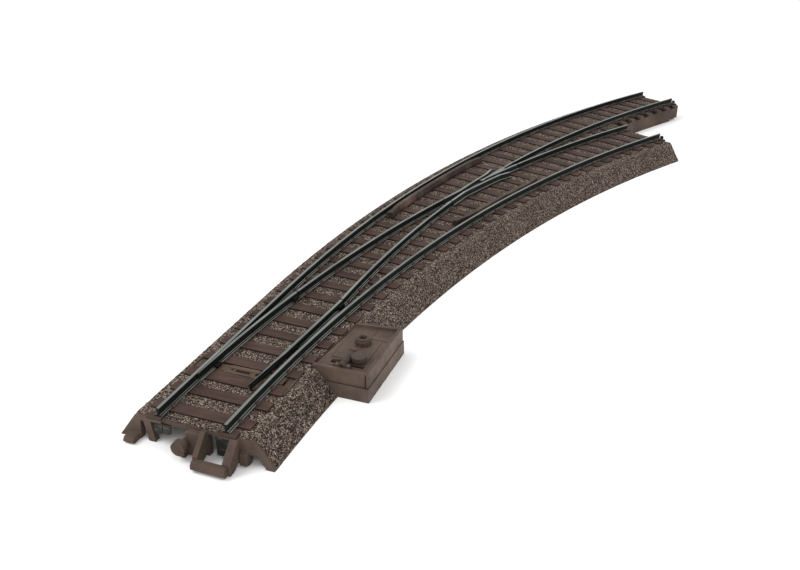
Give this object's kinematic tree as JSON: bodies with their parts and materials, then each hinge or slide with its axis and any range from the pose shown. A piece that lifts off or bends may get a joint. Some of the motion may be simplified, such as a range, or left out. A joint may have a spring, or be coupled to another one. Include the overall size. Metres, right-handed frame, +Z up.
{
  "type": "model turnout switch",
  "caption": "Right-hand curved model railway turnout on ballasted roadbed, with swinging switch blades, frog, check rails and a flip-over hand throw box with lantern socket.",
  "frame": {"origin": "track centre on the toe (blade) end face, at the height of the roadbed's bottom rim", "axes": "+X along the track at the toe end, into the turnout; +Y to the left of it; +Z up"},
  "size_m": [0.3395, 0.1063, 0.0098],
  "materials": {
    "bed_moulding": "textured ballast and sleeper moulding",
    "rail_nickel": "bright worn head, dull web",
    "frog_casting": "dark cast metal with bright running faces",
    "check_plastic": "dull moulded",
    "bar_plastic": "dull moulded",
    "box_plastic": "fine satin moulded",
    "lever_plastic": "fine satin moulded",
    "contact_steel": "dull sheet steel",
    "pin_steel": "machined",
    "jumper_brass": "rolled strip",
    "spring_steel": "drawn wire"
  },
  "bodies": {
    "bed": {"roadbed": "bed_moulding", "stock_rail_left": "rail_nickel", "stock_rail_right": "rail_nickel", "closure_rail_left": "rail_nickel", "closure_rail_right": "rail_nickel", "inner_route_left_rail": "rail_nickel", "outer_route_right_rail": "rail_nickel", "blade_pivot_pins": "pin_steel", "frog": "frog_casting", "check_rail_left": "check_plastic", "check_rail_right": "check_plastic", "mechanism_box": "box_plastic", "mechanism_cover": "box_plastic", "mechanism_bottom": "box_plastic", "bottom_screws": "pin_steel", "lever_bearing": "lever_plastic", "snap_spring": "spring_steel", "frog_feed": "jumper_brass", "jumper_left_front": "jumper_brass", "jumper_right_front": "jumper_brass", "jumper_left_rear": "jumper_brass", "jumper_right_rear": "jumper_brass", "feeder_terminal_left": "jumper_brass", "feeder_terminal_right": "jumper_brass", "contact_tongue_toe": "contact_steel", "contact_socket_toe": "contact_steel", "contact_tongue_inner": "contact_steel", "contact_socket_inner": "contact_steel", "contact_tongue_outer": "contact_steel", "contact_socket_outer": "contact_steel"},
    "throw": {"throw_bar": "bar_plastic", "throw_link": "bar_plastic", "link_rivet": "pin_steel", "throw_slide": "bar_plastic"},
    "blade_left": {"switch_blade_left": "rail_nickel"},
    "blade_right": {"switch_blade_right": "rail_nickel"},
    "lever": {"hand_lever": "lever_plastic", "lever_axle": "lever_plastic"},
    "lantern": {"lantern_socket": "lever_plastic", "lantern_pinion": "bar_plastic"}
  },
  "joints": [
    {"name": "throw_travel", "type": "slide", "parent": "bed", "child": "throw", "axis": [0, -1, 0], "range_m": [0, 0.0021], "deforming": ["snap_spring"]},
    {"name": "blade_left_swing", "type": "hinge", "parent": "bed", "child": "blade_left", "pos_m": [0.06, 0.00523, 0.00765], "axis": [0, 0, 1], "range_deg": [0, 3.24]},
    {"name": "blade_right_swing", "type": "hinge", "parent": "bed", "child": "blade_right", "pos_m": [0.06, -0.00868, 0.00765], "axis": [0, 0, 1], "range_deg": [0, 3.24]},
    {"name": "hand_lever_flip", "type": "hinge", "parent": "bed", "child": "lever", "pos_m": [0.037, -0.0216, 0.0082], "axis": [-1, 0, 0], "range_deg": [0, 166.1]},
    {"name": "lantern_turn", "type": "hinge", "parent": "bed", "child": "lantern", "pos_m": [0.0458, -0.0218, 0.004], "axis": [0, 0, 1], "range_deg": [0, 90.1]}
  ],
  "couplings": [
    {"joint": "blade_left_swing", "follows": "throw_travel", "rad_per_m": 26.882},
    {"joint": "blade_right_swing", "follows": "throw_travel", "rad_per_m": 26.882},
    {"joint": "hand_lever_flip", "follows": "throw_travel", "rad_per_m": 1379.6},
    {"joint": "lantern_turn", "follows": "throw_travel", "rad_per_m": 748}
  ]
}
